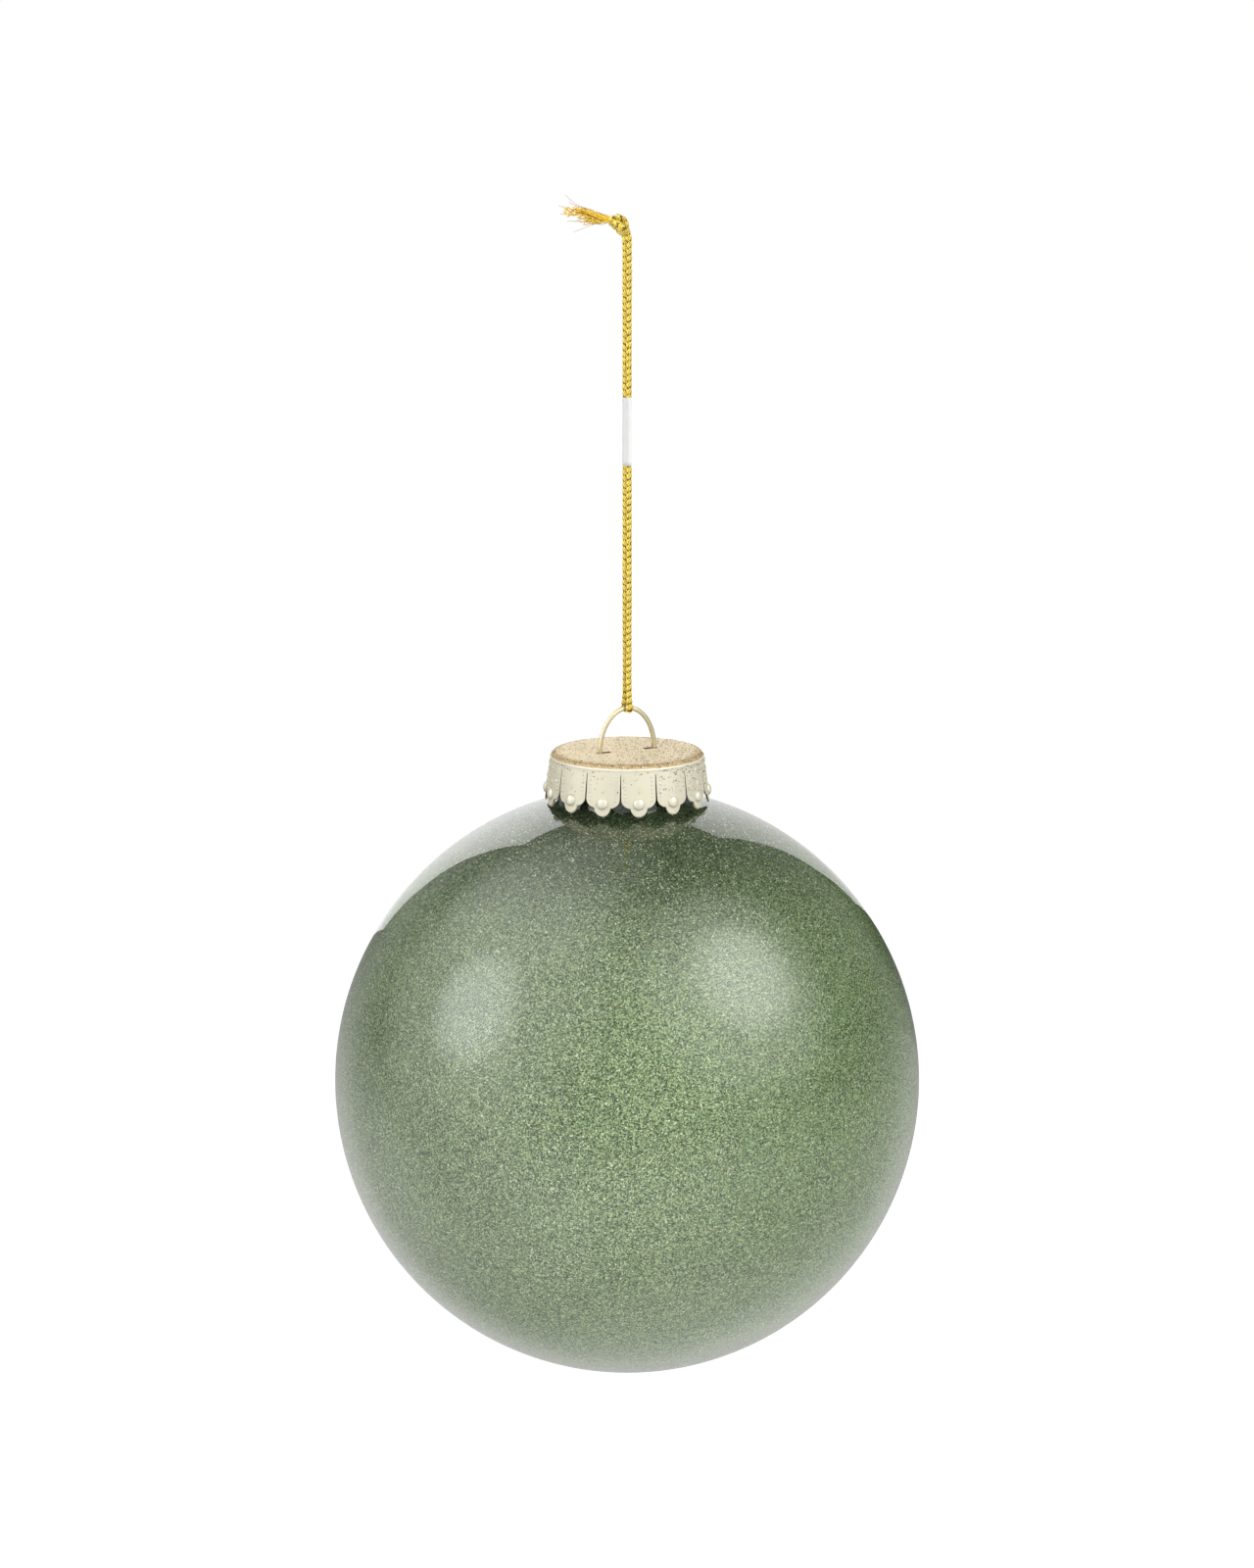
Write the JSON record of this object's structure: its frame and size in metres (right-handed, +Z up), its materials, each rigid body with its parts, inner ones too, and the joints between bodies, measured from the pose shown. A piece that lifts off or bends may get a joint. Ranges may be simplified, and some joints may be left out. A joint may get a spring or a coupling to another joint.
{
  "type": "glitter bauble",
  "caption": "Hollow glass ball lined with green glitter, closed by a petalled metal cap on a spring wire, hung from a knotted gold cord loop.",
  "frame": {"origin": "top of the cord loop, just under its knot, where a twig or hook holds it", "axes": "+Z up along the hanging line; X in the plane of the hanger wire; the picture's camera stands at about azimuth -27 degrees"},
  "size_m": [0.1, 0.1, 0.1969],
  "materials": {
    "clear_glass": "clear blown glass, glossy",
    "green_glitter": "fine film glitter, sage and moss green",
    "champagne_cap": "champagne gold, satin",
    "pale_gold_wire": "pale gold, bright drawn wire",
    "gold_cord": "knitted metallic gold thread",
    "white_paper": "plain white, matt"
  },
  "bodies": {
    "cord": {"cord_loop": "gold_cord", "cord_knot": "gold_cord", "cord_tails": "gold_cord", "paper_band": "white_paper"},
    "hanger": {"hanger_wire": "pale_gold_wire"},
    "cap": {"cap": "champagne_cap"},
    "ball": {"glass_ball": "clear_glass", "glitter_lining": "green_glitter"}
  },
  "joints": [
    {"name": "bail_swing", "type": "hinge", "parent": "cord", "child": "hanger", "pos_m": [0, 0, -0.0775], "axis": [1, 0, 0], "range_deg": [-90, 90]},
    {"name": "cap_lift", "type": "slide", "parent": "hanger", "child": "cap", "axis": [0, 0, 1], "range_m": [0, 0.005]},
    {"name": "ball_pull", "type": "slide", "parent": "hanger", "child": "ball", "axis": [0, 0, -1], "range_m": [0, 0.045], "deforming": ["hanger_wire"]}
  ]
}
